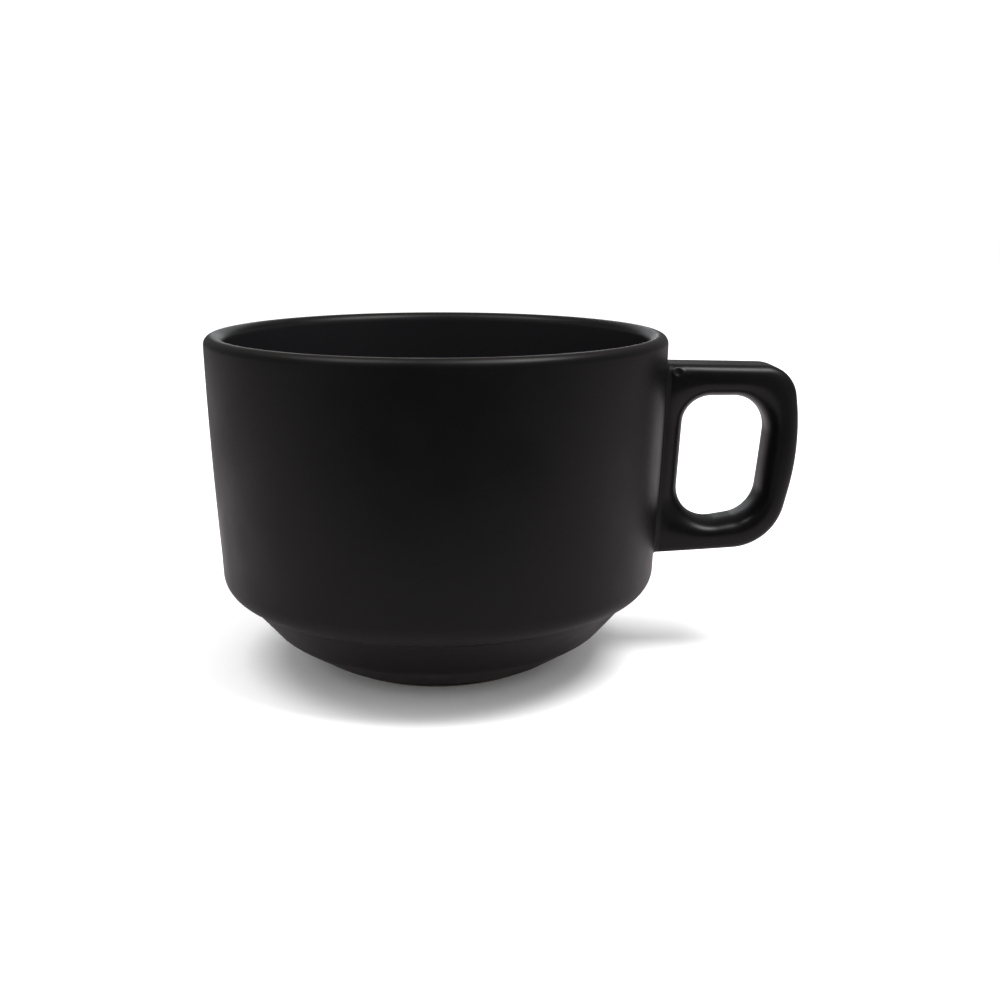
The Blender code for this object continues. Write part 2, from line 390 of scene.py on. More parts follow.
def build_wheel():
    """The tree that sweeps a profile round an upright axis."""
    tree = bpy.data.node_groups.new("turn_on_the_wheel", "GeometryNodeTree")
    given, out = add_inputs(tree, (
        ("Turn Steps", "NodeSocketInt"), ("Profile Points", "NodeSocketInt"),
        ("Axis Place", "NodeSocketFloat"), ("Seam Distance", "NodeSocketFloat"),
        ("Finish", "NodeSocketMaterial"),
    ))
    columns = maths(tree, "ADD", given.outputs["Turn Steps"], 1.0)
    mesh, column, row = grid_by_number(tree, columns, given.outputs["Profile Points"])
    here = tree.nodes.new("GeometryNodeInputPosition").outputs[0]
    drawn = tree.nodes.new("ShaderNodeSeparateXYZ")
    tree.links.new(look_up(tree, given.outputs["Geometry"], here, row), drawn.inputs[0])
    share = maths(tree, "DIVIDE", column, given.outputs["Turn Steps"])
    angle = maths(tree, "MULTIPLY", share, math.tau)
    out_x = maths(tree, "MULTIPLY", drawn.outputs["X"], maths(tree, "COSINE", angle))
    out_y = maths(tree, "MULTIPLY", drawn.outputs["X"], maths(tree, "SINE", angle))
    place = tree.nodes.new("ShaderNodeCombineXYZ")
    tree.links.new(maths(tree, "ADD", out_x, given.outputs["Axis Place"]), place.inputs["X"])
    tree.links.new(out_y, place.inputs["Y"])
    tree.links.new(drawn.outputs["Z"], place.inputs["Z"])
    close_and_finish(tree, mesh, place.outputs[0], given, out)
    return tree


wheel = build_wheel()
print("the wheel tree has", len(wheel.nodes), "nodes")

# %% [markdown]
# A tree runs as a modifier on a drawing. Its inputs are set by the socket's identifier, which stays
# the same when a name is changed. The result is kept as a plain mesh and the modifier goes, so that
# nothing has to be worked out again later.

# %% Run a tree, and settle what it made
TURN_STEPS = 224
SEAM_DISTANCE = 0.004 * MM


def run_tree(name, tree, drawing, settings):
    """Run a tree on a drawing, keep its result as a plain mesh, and drop the modifier."""
    maker = bpy.data.objects.new(name + "_maker", drawing)
    bpy.context.scene.collection.objects.link(maker)
    modifier = maker.modifiers.new("make", "NODES")
    modifier.node_group = tree
    for item in tree.interface.items_tree:
        if item.in_out == "INPUT" and item.name in settings:
            modifier[item.identifier] = settings[item.name]
    bpy.context.view_layer.update()
    evaluated = maker.evaluated_get(bpy.context.evaluated_depsgraph_get())
    mesh = bpy.data.meshes.new_from_object(evaluated)
    bpy.data.objects.remove(maker)
    return mesh


def settled(name, mesh, material):
    """Turn the faces outwards, report what was made, and put the piece in the scene."""
    shape = bmesh.new()
    shape.from_mesh(mesh)
    bmesh.ops.recalc_face_normals(shape, faces=shape.faces)
    if shape.calc_volume(signed=True) < 0.0:
        bmesh.ops.reverse_faces(shape, faces=shape.faces)
    open_edges = sum(1 for edge in shape.edges if not edge.is_manifold)
    triangles = sum(len(face.verts) - 2 for face in shape.faces)
    shape.to_mesh(mesh)
    shape.free()
    mesh.name = name
    mesh.materials.clear()
    mesh.materials.append(material)
    mesh.shade_smooth()
    piece = bpy.data.objects.new(name, mesh)
    bpy.context.scene.collection.objects.link(piece)
    print(f"{name}: {triangles} triangles, {open_edges} open edges")
    return piece


def turned(name, profile, material):
    """A piece made on the wheel from a profile in mm, as (from the axis, up from the table)."""
    drawing = bpy.data.meshes.new(name + "_profile")
    drawing.from_pydata([(r * MM, 0.0, z * MM) for r, z in profile], [], [])
    mesh = run_tree(name, wheel, drawing, {
        "Turn Steps": TURN_STEPS, "Profile Points": len(profile),
        "Axis Place": AXIS_X, "Seam Distance": SEAM_DISTANCE, "Finish": material,
    })
    return settled(name, mesh, material)


print("one turn of the wheel takes", TURN_STEPS, "steps")

# %% [markdown]
# The profile, in millimetres from the axis and up from the table: the floor inside, up the inner
# wall, over a soft lip, down the slightly barrelled wall, round the shoulder that tucks in to the
# stacking step, and down the lower bowl. Glaze fills a sharp inner corner, so the step and the
# corner above the foot each get a small rounding.

# %% The body's profile
RIM_RADIUS = 45.0
HEIGHT = 65.7
WALL = 3.6
LIP_OUTER_ROUND = 1.7
LIP_INNER_ROUND = WALL - LIP_OUTER_ROUND
WALL_TOP_Z = HEIGHT - LIP_OUTER_ROUND
TAPER_TOP_Z = 63.6
WALL_FOOT = (43.4, 22.0)
BARREL = 0.24
SHOULDER = (43.25, 16.55)
SHOULDER_ROUND = 4.6
STEP = (39.6, 14.6)
STEP_ROUND = 2.0
BOWL = (33.2, 7.0)
BOWL_ROUND = 8.0
BOWL_FOOT = (25.4, 1.9)
BOWL_FOOT_ROUND = 0.5
INNER_BOWL_TOP_Z = 24.0
INNER_BOWL_RADIUS = 39.5
INNER_BOWL_POWER = 2.2
FLOOR_Z = 6.0
RECESS_EDGE = (17.5, 1.9)
RECESS = (15.5, 2.5)
BOWL_STEPS = 40
WALL_STEPS = 30


def wall_radius(z):
    """Outer radius of the wall in mm: a taper towards the foot with a slight barrel."""
    t = min((z - WALL_FOOT[1]) / (TAPER_TOP_Z - WALL_FOOT[1]), 1.0)
    return WALL_FOOT[0] + (RIM_RADIUS - WALL_FOOT[0]) * t + BARREL * 4 * t * (1 - t)


def inner_bowl(steps=BOWL_STEPS):
    """The inner bowl, from the middle of the floor up to the wall, as a squared ellipse."""
    depth = INNER_BOWL_TOP_Z - FLOOR_Z
    points = []
    for step in range(steps + 1):
        angle = math.pi / 2 * step / steps
        across = math.sin(angle) ** (2 / INNER_BOWL_POWER)
        down = max(math.cos(angle), 0.0) ** (2 / INNER_BOWL_POWER)
        points.append((INNER_BOWL_RADIUS * across, INNER_BOWL_TOP_Z - depth * down))
    return points


def outer_wall(steps=WALL_STEPS):
    """The outer wall, from under the lip down to the shoulder."""
    heights = [WALL_TOP_Z + (WALL_FOOT[1] - WALL_TOP_Z) * step / steps for step in range(steps)]
    return [(wall_radius(z), z) for z in heights]


print(f"the wall's radius is {wall_radius(WALL_TOP_Z):.2f} mm at the lip and {WALL_FOOT[0]} mm below")

# %% [markdown]
# The pieces of the outline are joined in one list, each with as many steps as its curve needs. The
# inner surface is marked with an attribute while its shape is at hand, so that the glaze there can be
# painted a little lighter and bluer than outside: painted light, for the light that reaches into the
# cup.

# %% Turn the body, and mark its inside
LIP_INNER_STEPS = 16
LIP_OUTER_STEPS = 18
INNER_WALL_STEPS = 20
STEP_ARC_STEPS = 5
BOWL_FOOT_ARC_STEPS = 6
RECESS_SIDE_STEPS = 3
RECESS_STEPS = 6
INSIDE_MARGIN = 0.25
MARK_MARGIN = 0.1


def body_profile():
    """The whole outline, from the middle of the floor inside to the middle of the recess below."""
    crown = RIM_RADIUS - LIP_OUTER_ROUND
    inner_lip = arc((crown, HEIGHT - LIP_INNER_ROUND), LIP_INNER_ROUND, 180, 90, LIP_INNER_STEPS)
    bowl = inner_bowl()
    profile = bowl[:-1] + straight(bowl[-1], inner_lip[0], INNER_WALL_STEPS) + inner_lip[:-1]
    profile += arc((crown, WALL_TOP_Z), LIP_OUTER_ROUND, 90, 0, LIP_OUTER_STEPS)[:-1]
    profile += outer_wall()
    profile += rounded_corner(WALL_FOOT, SHOULDER, STEP, SHOULDER_ROUND)
    profile += rounded_corner(SHOULDER, STEP, BOWL, STEP_ROUND, STEP_ARC_STEPS)
    profile += rounded_corner(STEP, BOWL, BOWL_FOOT, BOWL_ROUND)
    profile += rounded_corner(BOWL, BOWL_FOOT, RECESS_EDGE, BOWL_FOOT_ROUND, BOWL_FOOT_ARC_STEPS)
    middle = (0.0, RECESS[1])
    profile += straight(RECESS_EDGE, RECESS, RECESS_SIDE_STEPS)
    return profile + straight(RECESS, middle, RECESS_STEPS) + [middle]


def mark_inside(piece):
    """1 on the points of the cup's inner surface, and 0 elsewhere."""
    marks = piece.data.attributes.new("inside", "FLOAT", "POINT")
    depth = INNER_BOWL_TOP_Z - FLOOR_Z
    for vertex in piece.data.vertices:
        z = vertex.co.z / MM
        radius = math.hypot(vertex.co.x - AXIS_X, vertex.co.y) / MM
        sunk = min(max((INNER_BOWL_TOP_Z - z) / depth, 0.0), 1.0)
        bowl = INNER_BOWL_RADIUS * (1.0 - sunk ** INNER_BOWL_POWER) ** (1 / INNER_BOWL_POWER)
        inner_wall = RIM_RADIUS - WALL - MARK_MARGIN if z > INNER_BOWL_TOP_Z else 0.0
        if z > FLOOR_Z - MARK_MARGIN and radius < max(bowl, inner_wall) + INSIDE_MARGIN:
            marks.data[vertex.index].value = 1.0
    print(sum(1 for mark in marks.data if mark.value), "points are marked as inside")


cup = turned("glazed_cup_body", body_profile(), body_glaze)
mark_inside(cup)

# %% [markdown]
# The foot ring is pressed with the body on most cups, but its finish differs. The cup is stood on
# it in the kiln, so the glaze is wiped from the land, and bare clay shows in a thin line with a
# slightly ragged edge. One material can hold both: the height above the table, shaken a little by
# noise, picks clay or glaze. The ring reaches up into the body, because fired clay has no seam.

# %% The foot ring and its bare clay
CLAY_LIGHT = (0.200, 0.170, 0.145, 1.0)
CLAY_DARK = (0.120, 0.100, 0.085, 1.0)
WIPE_LINE = 0.42 * MM
WIPE_RAGGED = 0.22 * MM
WIPE_SOFT = 0.12 * MM
RAGGED_SCALE = 320.0
RAGGED_DETAIL = 3.0
GRIT_SCALE = 1900.0
GRIT_DETAIL = 4.0
GRIT_BUMP = 0.5
GRIT_DEPTH = 0.05 * MM
FOOT_MATT = 0.43
FOOT_PEEL = 0.3
CLAY_ROUGHER = 0.42
FOOT_ARC_STEPS = 5
FOOT_CORNERS = (
    (23.2, 2.1, 0.0), (22.6, 0.6, 0.5), (21.8, 0.0, 0.25),
    (19.6, 0.0, 0.25), (18.6, 0.6, 0.4), (18.6, 2.1, 0.0),
)


def foot_material():
    """Glaze above the wiped line, and bare gritty clay below it."""
    material, tree, shader = start_material("wiped_foot_clay", CLAY_DARK)
    where = object_places(tree)
    colour, roughness, normal, height = glaze_surface(tree, where, FOOT_MATT, FOOT_PEEL)
    grit = noise(tree, where, GRIT_SCALE, GRIT_DETAIL)
    clay = blended(tree, grit, CLAY_DARK, CLAY_LIGHT)
    uneven = noise(tree, where, RAGGED_SCALE, RAGGED_DETAIL)
    ragged = maths(tree, "MULTIPLY", uneven, WIPE_RAGGED)
    level = maths(tree, "SUBTRACT", height, ragged)
    glazed = spread(tree, level, WIPE_LINE - WIPE_SOFT, WIPE_LINE, 0.0, 1.0)
    rough_clay = tree.nodes.new("ShaderNodeBump")
    rough_clay.inputs["Strength"].default_value = GRIT_BUMP
    rough_clay.inputs["Distance"].default_value = GRIT_DEPTH
    tree.links.new(grit, rough_clay.inputs["Height"])
    tree.links.new(normal, rough_clay.inputs["Normal"])
    tree.links.new(blended(tree, glazed, clay, colour), shader.inputs["Base Color"])
    bare = maths(tree, "SUBTRACT", 1.0, glazed)
    clay_matt = maths(tree, "MULTIPLY", bare, CLAY_ROUGHER)
    tree.links.new(maths(tree, "ADD", roughness, clay_matt), shader.inputs["Roughness"])
    tree.links.new(rough_clay.outputs["Normal"], shader.inputs["Normal"])
    shader.inputs["Specular IOR Level"].default_value = GLAZE_SHEEN_LEVEL
    return material


foot_outline = [(x / MM, z / MM) for x, z in rounded_loop(FOOT_CORNERS, FOOT_ARC_STEPS)]
foot = turned("wiped_foot_ring", foot_outline + foot_outline[:1], foot_material())

# %% [markdown]
# The handle is cast in its own mould: a rounded-square loop with a soft, slightly crowned section.
# Two outlines drawn flat, the outside and the finger hole, say how thick each bar is. Rays from the
# middle of the hole meet both, and at each ray a soft-cornered section is stretched between the two
# hits. The tree that does it can lay any section along any loop, so the slip joint uses it too.

# %% A tree that lays a section round a loop


def build_loop_tree():
    """The tree that carries a section along a loop of stops."""
    tree = bpy.data.node_groups.new("lay_section_round_loop", "GeometryNodeTree")
    given, out = add_inputs(tree, (
        ("Loop Points", "NodeSocketInt"), ("Section Points", "NodeSocketInt"),
        ("Seam Distance", "NodeSocketFloat"), ("Finish", "NodeSocketMaterial"),
    ))
    source = given.outputs["Geometry"]
    loop_points = given.outputs["Loop Points"]
    section_points = given.outputs["Section Points"]
    mesh, column, row = grid_by_number(
        tree, maths(tree, "ADD", loop_points, 1.0), maths(tree, "ADD", section_points, 1.0))
    stop = maths(tree, "MODULO", column, loop_points)
    corner = maths(tree, "ADD", maths(tree, "MODULO", row, section_points), loop_points)
    here = tree.nodes.new("GeometryNodeInputPosition").outputs[0]
    drawn = tree.nodes.new("ShaderNodeSeparateXYZ")
    tree.links.new(look_up(tree, source, here, corner), drawn.inputs[0])
    place = look_up(tree, source, here, stop)
    for name, amount in (("across", "X"), ("along", "Y")):
        stored = tree.nodes.new("GeometryNodeInputNamedAttribute")
        stored.data_type = "FLOAT_VECTOR"
        stored.inputs["Name"].default_value = name
        scaled = tree.nodes.new("ShaderNodeVectorMath")
        scaled.operation = "SCALE"
        tree.links.new(look_up(tree, source, stored.outputs[0], stop), scaled.inputs[0])
        tree.links.new(drawn.outputs[amount], scaled.inputs["Scale"])
        added = tree.nodes.new("ShaderNodeVectorMath")
        added.operation = "ADD"
        tree.links.new(place, added.inputs[0])
        tree.links.new(scaled.outputs[0], added.inputs[1])
        place = added.outputs[0]
    close_and_finish(tree, mesh, place, given, out)
    return tree


loop_tree = build_loop_tree()
print("the loop tree has", len(loop_tree.nodes), "nodes")

# %% [markdown]
# The drawing that feeds the tree holds first the stops of the loop and then the points of the
# section. Two vectors ride along with each stop, and say what one unit across and one unit along
# the section mean there.

# %% Draw the stops and the section for the tree


def laid_round(name, stops, section, material):
    """Stops are (place, across, along), and the section lists how much of each to take."""
    places = [stop[0] for stop in stops] + [Vector((x, y, 0.0)) for x, y in section]
    drawing = bpy.data.meshes.new(name + "_drawing")
    drawing.from_pydata(places, [], [])
    for number, title in ((1, "across"), (2, "along")):
        stored = drawing.attributes.new(title, "FLOAT_VECTOR", "POINT")
        for index, stop in enumerate(stops):
            stored.data[index].vector = stop[number]
    return run_tree(name, loop_tree, drawing, {
        "Loop Points": len(stops), "Section Points": len(section),
        "Seam Distance": SEAM_DISTANCE, "Finish": material,
    })


print("a section can now be laid round a loop of stops")

# %% [markdown]
# The handle's outside is nearly a rounded square, a little wider at the top, and the finger hole
# inside it has softer corners. Each ray from the middle of the hole keeps its furthest hit, so an
# outline only has to be in plain sight of that middle all the way round.

# %% The handle's two outlines
HANDLE_CORNERS = (
    (36.0, 20.57, 6.4), (67.9, 22.4, 11.2), (72.7, 43.0, 50.0),
    (70.4, 59.1, 6.8), (36.0, 59.78, 6.4),
)
HOLE_CORNERS = ((47.7, 26.2, 7.0), (64.5, 29.1, 6.8), (66.7, 53.0, 7.2), (49.1, 52.9, 5.6))
HOLE_MIDDLE = (57.0 * MM, 40.5 * MM)
OUTLINE_ARC_STEPS = 48
PARALLEL = 1e-12
EDGE_SLACK = 1e-9


def ray_hit(outline, angle):
    """Where a ray from the middle of the hole meets an outline."""
    way = (math.cos(angle), math.sin(angle))
    hits = []
    for (ax, az), (bx, bz) in zip(outline, outline[1:] + outline[:1]):
        ex = bx - ax
        ez = bz - az
        facing = way[0] * ez - way[1] * ex
        if abs(facing) < PARALLEL:
            continue
        dx = ax - HOLE_MIDDLE[0]
        dz = az - HOLE_MIDDLE[1]
        distance = (dx * ez - dz * ex) / facing
        share = (dx * way[1] - dz * way[0]) / facing
        if distance > 0.0 and -EDGE_SLACK <= share <= 1.0 + EDGE_SLACK:
            hits.append(distance)
    reach = max(hits)
    return Vector((HOLE_MIDDLE[0] + way[0] * reach, 0.0, HOLE_MIDDLE[1] + way[1] * reach))


handle_outside = rounded_loop(HANDLE_CORNERS, OUTLINE_ARC_STEPS)
finger_hole = rounded_loop(HOLE_CORNERS, OUTLINE_ARC_STEPS)
top_bar = ray_hit(handle_outside, math.pi / 2).z - ray_hit(finger_hole, math.pi / 2).z
print(f"the top bar is {top_bar / MM:.1f} mm thick above the middle of the hole")

# %% [markdown]
# The side of the bar that the finger meets is rounder than the outer side, so the two noses of the
# section get depths and softness of their own. A squared ellipse draws both. Its softness is 2 for
# a plain ellipse, and a larger number fills the corner more.

# %% A section with two noses
HANDLE_HALF_DEPTH = 5.75 * MM
OUTER_NOSE = (3.0 * MM, 2.6)
HOLE_NOSE = (5.2 * MM, 2.2)
NOSE_STEPS = 26
SIDE_STEPS = 6


def half_section(nose_depth, softness, nose_steps=NOSE_STEPS, side_steps=SIDE_STEPS):
    """One half of a section, from its outermost point round a soft nose, up to the middle."""
    side = 1.0 - nose_depth / HANDLE_HALF_DEPTH
    half = [(1.0, side * step / side_steps) for step in range(side_steps)]
    for step in range(nose_steps):
        angle = math.pi / 2 * step / nose_steps
        across = math.cos(angle) ** (2 / softness)
        rise = math.sin(angle) ** (2 / softness)
        half.append((across, side + (1.0 - side) * rise))
    return half


def soft_section():
    """The whole section: a flatter nose outside, and a rounder one towards the finger hole."""
    outer = half_section(*OUTER_NOSE)
    inner = half_section(*HOLE_NOSE)
    upper = outer + [(0.0, 1.0)] + [(-x, y) for x, y in reversed(inner)]
    return upper + [(x, -y) for x, y in reversed(upper[1:-1])]


print("the section has", len(soft_section()), "points")

# %% [markdown]
# The section is laid round the loop first. The back of the handle is cut flat inside the wall, where
# the slip joint hides it, and the cut is filled, so the handle stays one closed solid. That cut comes
# last, after the dent below, because the dent is easier to press into the even grid.

# %% Lay the section round, with a way to trim the back
HANDLE_RAYS = 480
HANDLE_BACK_X = 42.6 * MM
CUT_SLACK = 1e-7


def handle_stops():
    """For each ray: the middle of the bar, half its thickness, and half its depth."""
    shift = Vector((AXIS_X, 0.0, 0.0))
    stops = []
    for step in range(HANDLE_RAYS):
        angle = math.tau * (step + 0.5) / HANDLE_RAYS
        far = ray_hit(handle_outside, angle)
        near = ray_hit(finger_hole, angle)
        middle = (far + near) / 2
        half = (far - near) / 2
        stops.append((middle + shift, half, Vector((0.0, HANDLE_HALF_DEPTH, 0.0))))
    return stops


def trim_back(mesh, x):
    """Cut away what lies behind a plane, and close the cut."""
    shape = bmesh.new()
    shape.from_mesh(mesh)
    everything = shape.verts[:] + shape.edges[:] + shape.faces[:]
    bmesh.ops.bisect_plane(shape, geom=everything, dist=CUT_SLACK,
                           plane_co=(x, 0.0, 0.0), plane_no=(1.0, 0.0, 0.0), clear_inner=True)
    rim = [edge for edge in shape.edges if edge.is_boundary]
    bmesh.ops.triangle_fill(shape, edges=rim, use_beauty=True)
    shape.to_mesh(mesh)
    shape.free()
    return mesh


handle_mesh = laid_round("loop_handle", handle_stops(), soft_section(), handle_glaze)
print("the handle is drawn with", len(handle_mesh.vertices), "points before its back is cut")

# %% [markdown]
# Near the wall, the top bar has one small round dent with a raised lip, where a bubble in the slip
# burst before firing. It is a shape, so it is pressed into the mesh and not left to bump.

# %% One burst bubble in the handle's top bar
DENT_PLACE = Vector((AXIS_X + 46.9 * MM, -5.1 * MM, 58.0 * MM))
DENT_INWARD = Vector((0.0, 0.75, -0.66))
DENT_RADIUS = 0.85 * MM
DENT_DEPTH = 0.20 * MM
DENT_LIP = 0.11 * MM
DENT_REACH = 2.2
HOLLOW_STEEPNESS = 1.5
LIP_PLACE = 1.2
LIP_STEEPNESS = 3.5


def press_dent(mesh):
    """Push a small hollow in and its lip out, both fading with distance in dent radii."""
    moved = 0
    for vertex in mesh.vertices:
        away = (vertex.co - DENT_PLACE).length / DENT_RADIUS
        if away < DENT_REACH:
            hollow = DENT_DEPTH * math.exp(-(away * HOLLOW_STEEPNESS) ** 2)
            lip = DENT_LIP * math.exp(-((away - LIP_PLACE) * LIP_STEEPNESS) ** 2)
            vertex.co += DENT_INWARD * (hollow - lip)
            moved += 1
    print(f"the burst bubble moved {moved} points")


press_dent(handle_mesh)
handle = settled("loop_handle", trim_back(handle_mesh, AXIS_X + HANDLE_BACK_X), handle_glaze)

# %% [markdown]
# The handle is stuck on with slip, liquid clay. It squeezes out round the edge of the joint and is
# smoothed with a wet brush, which leaves a hollow fillet with a thin raised bead on the wall side.
# The bead has to follow both the handle's edge and the round wall, so its path is read from the
# handle itself: the outline that a plane just outside the wall cuts from it.

# %% Read the handle's edge where it meets the wall
SLIP_CUT_X = 44.6 * MM
SLIP_STOPS = 220


def cut_outline(piece, x):
    """The outline, in order, that an upright plane cuts from a piece."""
    shape = bmesh.new()
    shape.from_mesh(piece.data)
    everything = shape.verts[:] + shape.edges[:] + shape.faces[:]
    found = bmesh.ops.bisect_plane(shape, geom=everything, dist=CUT_SLACK,
                                   plane_co=(x, 0.0, 0.0), plane_no=(1.0, 0.0, 0.0))
    points = [item.co.copy() for item in found["geom_cut"] if isinstance(item, bmesh.types.BMVert)]
    shape.free()
    middle = sum(points, Vector()) / len(points)
    height = max(p.z for p in points) - min(p.z for p in points)
    depth = max(p.y for p in points) - min(p.y for p in points)
    points.sort(key=lambda p: math.atan2((p.z - middle.z) / height, (p.y - middle.y) / depth))
    return points


def even_steps(points, count):
    """The same closed outline, with its points evenly spaced."""
    runs = [(b - a).length for a, b in zip(points, points[1:] + points[:1])]
    whole = sum(runs)
    result = []
    index = 0
    passed = 0.0
    for step in range(count):
        target = whole * step / count
        while passed + runs[index] < target:
            passed += runs[index]
            index += 1
        share = (target - passed) / runs[index]
        result.append(points[index].lerp(points[(index + 1) % len(points)], share))
    return result


slip_edge = even_steps(cut_outline(handle, AXIS_X + SLIP_CUT_X), SLIP_STOPS)
slip_height = max(point.z for point in slip_edge) - min(point.z for point in slip_edge)
print(f"the joint's edge is {slip_height / MM:.1f} mm high, in {len(slip_edge)} steps")

# %% [markdown]
# Each stop is then moved onto the round wall, and its two directions are turned with it: sideways
# along the wall, away from the handle, and straight out of the wall. The section is drawn in
# millimetres along those two: from the handle's side, down the hollow fillet, over the bead, and
# into the wall.

# %% The slip joint round the handle's back
SLIP_SECTION = (
    (-0.50, 1.10), (-0.10, 1.05), (0.00, 0.78), (0.10, 0.54), (0.22, 0.35), (0.36, 0.21),
    (0.50, 0.15), (0.60, 0.15), (0.69, 0.17), (0.78, 0.14), (0.86, 0.05), (0.94, -0.10),
    (0.90, -0.45), (-0.50, -0.45),
)


def slip_stops(outline):
    """Each point of the edge, moved onto the wall, with its two directions."""
    stops = []
    for index, point in enumerate(outline):
        run = outline[(index + 1) % SLIP_STOPS] - outline[index - 1]
        side = Vector((0.0, run.z, -run.y)).normalized()
        radius = wall_radius(point.z / MM) * MM
        x = math.sqrt(radius ** 2 - point.y ** 2)
        outward = Vector((x, point.y, 0.0)).normalized()
        side = (side - outward * side.dot(outward)).normalized()
        stops.append((Vector((AXIS_X + x, point.y, point.z)), side * MM, outward * MM))
    return stops


slip = settled(
    "slip_fillet",
    laid_round("slip_fillet", slip_stops(slip_edge), SLIP_SECTION, slip_glaze),
    slip_glaze)

# %% [markdown]
# Each piece rides on the cup's only body, and a printed line gives the imported part it stands for and
# the finish it takes. The imported parts stay in place, hidden, for the collision model.

# %% Hand the pieces to the frame
for piece, part, finish_slot in (
    (cup, "cup_body", "body_glaze"),
    (foot, "foot_ring", "foot_clay"),
    (handle, "handle", "handle_glaze"),
    (slip, "handle_slip_joint", "slip_glaze"),
):
    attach(piece, "root")
    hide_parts(part)
    print(f"{piece.name} stands for {part} and takes {finish_slot}")

# %% [markdown]
# The cup stands on a plain pale sweep. A black satin glaze has almost no colour of its own, so what
# shows is what it reflects: a softbox overhead draws the bright lines on the lip and handle, pale
# sides draw the edges, and black cards in front keep the middle of the wall dark. The floor is seen
# in the glaze as a darker grey, brightest near the cup, so that the wall stays black in a white room.

# %% The pale floor
FLOOR_PALE = (0.93, 0.93, 0.93, 1.0)
FLOOR_PALE_GRAIN = (0.95, 0.95, 0.95, 1.0)
FLOOR_IN_GLAZE_NEAR = (0.440, 0.407, 0.426, 1.0)
FLOOR_IN_GLAZE_FAR = (0.275, 0.255, 0.268, 1.0)
FLOOR_NEAR = 0.10
FLOOR_FAR = 0.40
FLOOR_HALF = 3.0
FLOOR_GRAIN_SCALE = 40.0
FLOOR_GRAIN_DETAIL = 3.0
FLOOR_ROUGHNESS = 0.9


def floor_material():
    """Pale to the eye, and greyer in a glossy surface, the more so the further it is away."""
    material, tree, shader = start_material("pale_floor", FLOOR_PALE)
    where = object_places(tree)
    grain = noise(tree, where, FLOOR_GRAIN_SCALE, FLOOR_GRAIN_DETAIL)
    glossy = tree.nodes.new("ShaderNodeLightPath").outputs["Is Glossy Ray"]
    away = tree.nodes.new("ShaderNodeVectorMath")
    away.operation = "LENGTH"
    tree.links.new(where, away.inputs[0])
    far = spread(tree, away.outputs["Value"], FLOOR_NEAR, FLOOR_FAR, 0.0, 1.0)
    mirrored = blended(tree, far, FLOOR_IN_GLAZE_NEAR, FLOOR_IN_GLAZE_FAR)
    colour = blended(tree, grain, FLOOR_PALE, FLOOR_PALE_GRAIN)
    colour = blended(tree, glossy, colour, mirrored)
    tree.links.new(colour, shader.inputs["Base Color"])
    shader.inputs["Roughness"].default_value = FLOOR_ROUGHNESS
    shader.inputs["Specular IOR Level"].default_value = 0.0
    return material


def lying(x, y, z):
    """Corners of a flat sheet at one height, with x and y as (from, to)."""
    return [(x[0], y[0], z), (x[1], y[0], z), (x[1], y[1], z), (x[0], y[1], z)]


def flat_card(name, corners, material):
    """A flat sheet that belongs to the stage and not to the cup."""
    mesh = bpy.data.meshes.new(name)
    mesh.from_pydata(corners, [], [(0, 1, 2, 3)])
    mesh.materials.append(material)
    card = bpy.data.objects.new(name, mesh)
    bpy.context.scene.collection.objects.link(card)
    print(f"{name} is {(mesh.vertices[2].co - mesh.vertices[0].co).length:.2f} m from corner to corner")
    return card


floor_reach = (-FLOOR_HALF, FLOOR_HALF)
flat_card("floor", lying(floor_reach, floor_reach, 0.0), floor_material())

# %% [markdown]
# A dark glaze shows its shape by what is bright and what is dark round it. Two black cards, one
# standing in front and one lying on the table, darken the middle of the wall. They could be real
# objects in the view, but here they are hidden from the camera, from shadows and from soft light,
# so only the reflections in the glaze know of them.

# %% Black cards in front
CARD_BLACK = (0.004, 0.004, 0.004, 1.0)
CARD_REACH = (-0.30, 0.30)
CARD_FRONT_Y = -0.42
CARD_HEIGHTS = (0.0, 0.62)
TABLE_CARD_REACH = (CARD_FRONT_Y, -0.125)
TABLE_CARD_Z = 0.001


def upright(x, y, z):
    """Corners of a sheet that stands across the view, with x and z as (from, to)."""
    return [(x[0], y, z[0]), (x[1], y, z[0]), (x[1], y, z[1]), (x[0], y, z[1])]


def only_mirrored(card):
    """Leave a card out of everything but reflections."""
    card.visible_camera = False
    card.visible_shadow = False
    card.visible_diffuse = False


def black_card(name, corners):
    """A black sheet that only reflections know of."""
    material, _, shader = start_material(name + "_black", CARD_BLACK)
    shader.inputs["Base Color"].default_value = CARD_BLACK
    shader.inputs["Roughness"].default_value = 1.0
    shader.inputs["Specular IOR Level"].default_value = 0.0
    only_mirrored(flat_card(name, corners, material))


black_card("front_card", upright(CARD_REACH, CARD_FRONT_Y, CARD_HEIGHTS))
black_card("table_card", lying(CARD_REACH, TABLE_CARD_REACH, TABLE_CARD_Z))

# %% [markdown]
# The top of the lip looks towards the far side of the room at a very flat angle, where even a black
# glaze reflects strongly. Two low glowing cards behind the cup draw the thin bright line along it.
# The narrow one to the right is stronger, which makes the line brighter towards the handle.

# %% A low glow behind, for the thin bright line along the lip
GLOW_STRENGTH = 1.25
RIGHT_GLOW_STRENGTH = 2.0
GLOW_COLOUR = (0.95, 0.98, 1.0, 1.0)
GLOW_Y = 0.60
GLOW_HEIGHTS = (0.09, 0.34)
BACK_GLOW_REACH = (-0.20, 0.06)
RIGHT_GLOW_REACH = (0.07, 0.12)


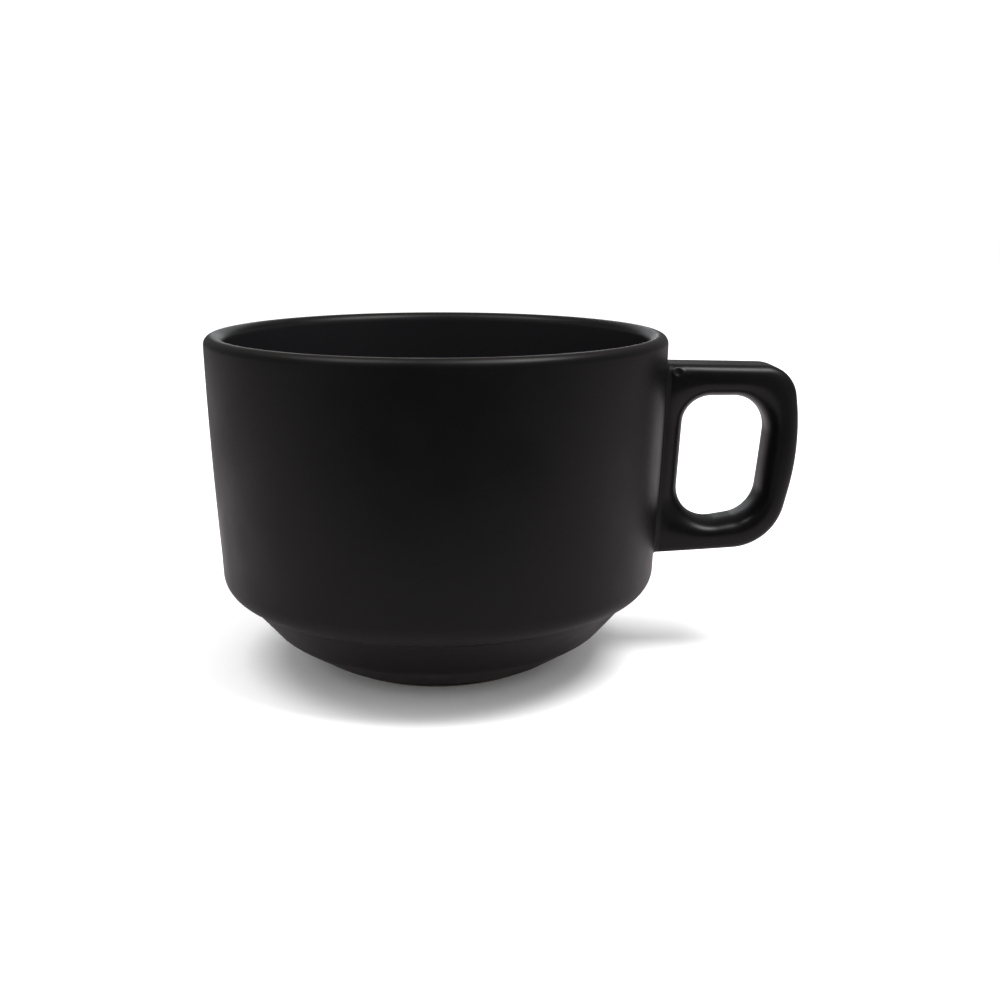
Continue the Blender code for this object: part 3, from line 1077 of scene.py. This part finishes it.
def glow_card(name, across, strength):
    """A glowing sheet behind the cup that only reflections know of."""
    material, _, shader = start_material(name + "_light", GLOW_COLOUR)
    shader.inputs["Base Color"].default_value = CARD_BLACK
    shader.inputs["Emission Color"].default_value = GLOW_COLOUR
    shader.inputs["Emission Strength"].default_value = strength
    only_mirrored(flat_card(name, upright(across, GLOW_Y, GLOW_HEIGHTS), material))


glow_card("back_glow", BACK_GLOW_REACH, GLOW_STRENGTH)
glow_card("right_glow", RIGHT_GLOW_REACH, RIGHT_GLOW_STRENGTH)

# %% [markdown]
# A softbox overhead, on the handle's side, gives the long soft highlights on the handle's bars and
# a pale shadow. A weaker one on the other side reaches the part of the inner wall that the first
# one leaves dark.

# %% Two softboxes
SOFTBOX_SIZE = 0.33
SOFTBOX_POWER = 5.0
SOFTBOX_PLACE = (0.28, -0.12, 0.70)
FILL_POWER = 2.0
FILL_PLACE = (-0.30, -0.05, 0.66)


def hang_softbox(name, place, power):
    """A square light that looks at the middle of the cup."""
    light = bpy.data.lights.new(name, "AREA")
    light.shape = "SQUARE"
    light.size = SOFTBOX_SIZE
    light.energy = power
    box = bpy.data.objects.new(name, light)
    aim = (Vector((0.0, 0.0, HEIGHT * MM / 2)) - Vector(place)).to_track_quat("-Z", "Y")
    box.matrix_world = Matrix.Translation(place) @ aim.to_matrix().to_4x4()
    bpy.context.scene.collection.objects.link(box)
    print(f"{name}: {power} W from {place} m")


hang_softbox("softbox", SOFTBOX_PLACE, SOFTBOX_POWER)
hang_softbox("fill_softbox", FILL_PLACE, FILL_POWER)

# %% [markdown]
# The rest of the light is the room itself: a white world, bright enough for the floor to read as
# plain white, and dimmer where it is seen in the glaze.

# %% The pale room
ROOM_LIGHT = 1.07
ROOM_IN_GLAZE = 0.22
ROOM_WHITE = (1.0, 1.0, 1.0, 1.0)


def pale_room():
    """A white room, which a glossy surface sees dimmer than the eye does."""
    world = bpy.data.worlds.new("pale_room")
    world.use_nodes = True
    tree = world.node_tree
    backdrop = tree.nodes["Background"]
    backdrop.inputs["Color"].default_value = ROOM_WHITE
    glossy = tree.nodes.new("ShaderNodeLightPath").outputs["Is Glossy Ray"]
    strength = spread(tree, glossy, 0.0, 1.0, ROOM_LIGHT, ROOM_IN_GLAZE)
    tree.links.new(strength, backdrop.inputs["Strength"])
    return world


scene = bpy.context.scene
scene.world = pale_room()
scene.view_settings.view_transform = "Standard"
print(f"the room's strength is {ROOM_LIGHT}, and {ROOM_IN_GLAZE} in the glaze")

# %% [markdown]
# The camera looks slightly down into the cup from the front, a little left of the handle's side,
# close enough for the round lip to open into a wide ellipse.

# %% The camera
CAMERA_PLACE = (AXIS_X, -238.77 * MM, 89.62 * MM)
CAMERA_HEADING = -2.96
CAMERA_TILT = 90.0 - 13.68
CAMERA_ROLL = 0.19
SENSOR_WIDTH = 36.0
LENS = 43.5
CLIP_START = 0.01
CLIP_END = 20.0

camera = bpy.data.cameras.new("camera")
camera.sensor_width = SENSOR_WIDTH
camera.lens = LENS
camera.clip_start = CLIP_START
camera.clip_end = CLIP_END
camera_object = bpy.data.objects.new("camera", camera)
turn = Matrix.Rotation(math.radians(CAMERA_HEADING), 4, "Z")
turn = turn @ Matrix.Rotation(math.radians(CAMERA_TILT), 4, "X")
turn = turn @ Matrix.Rotation(math.radians(CAMERA_ROLL), 4, "Z")
camera_object.matrix_world = Matrix.Translation(CAMERA_PLACE) @ turn
scene.collection.objects.link(camera_object)
scene.camera = camera_object
print(f"the camera looks from {tuple(round(value, 3) for value in CAMERA_PLACE)} m")
